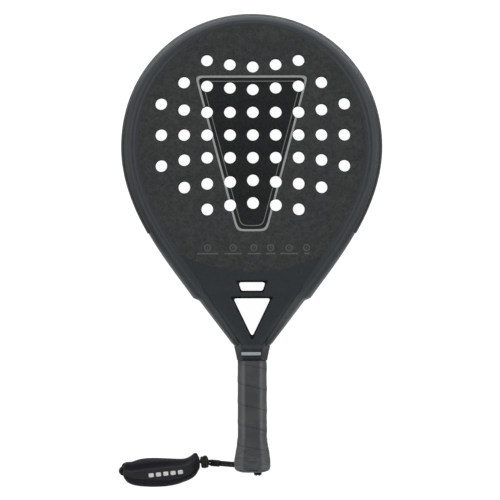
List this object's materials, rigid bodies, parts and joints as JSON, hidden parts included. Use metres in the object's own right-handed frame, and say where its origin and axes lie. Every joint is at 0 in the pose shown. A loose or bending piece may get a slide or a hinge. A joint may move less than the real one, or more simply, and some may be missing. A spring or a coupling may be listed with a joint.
{
  "type": "padel racket",
  "caption": "Padel racket with a perforated teardrop head, an open throat, a wrapped octagonal grip and a padded wrist strap on a cord.",
  "frame": {"origin": "bottom centre of the racket's own box, on the plane that the rear hitting face rests on, without the wrist strap", "axes": "+X across the head, +Y from the butt toward the tip of the head, +Z out of the front hitting face"},
  "size_m": [0.2625, 0.4688, 0.038],
  "materials": {
    "frame_lacquer": "satin",
    "bridge_lacquer": "satin",
    "face_grit": "matte",
    "foam_core": "matte",
    "protector_film": "gloss",
    "pallet_foam": "matte",
    "grip_tape": "satin",
    "collar_rubber": "satin",
    "cap_plastic": "satin",
    "cord_braid": "matte",
    "slider_plastic": "satin",
    "band_fabric": "matte"
  },
  "bodies": {
    "racket": {"frame_tube": "frame_lacquer", "head_protector": "protector_film", "face_skin_back": "face_grit", "face_skin_front": "face_grit", "face_foam_core": "foam_core", "bridge_front_shell": "bridge_lacquer", "bridge_rear_shell": "bridge_lacquer", "bridge_foam_core": "foam_core", "handle_filler": "foam_core", "handle_pallet_front": "pallet_foam", "handle_pallet_back": "pallet_foam", "butt_cap": "cap_plastic", "grip_wrap": "grip_tape", "grip_collar": "collar_rubber", "cord_root_left": "cord_braid", "cord_root_right": "cord_braid"},
    "strap": {"cord_strand_left": "cord_braid", "cord_strand_right": "cord_braid", "cord_knot": "cord_braid", "wrist_loop_cord": "cord_braid", "wristband_cover": "band_fabric", "wristband_foam": "foam_core"},
    "slider": {"cord_slider": "slider_plastic"}
  },
  "joints": [
    {"name": "strap_swing", "type": "hinge", "parent": "racket", "child": "strap", "pos_m": [0.0053, -0.2295, 0], "axis": [0, 0, 1], "range_deg": [-30, 60]},
    {"name": "slider_slide", "type": "slide", "parent": "strap", "child": "slider", "axis": [0.997, -0.0779, 0], "range_m": [0, 0.012]}
  ]
}
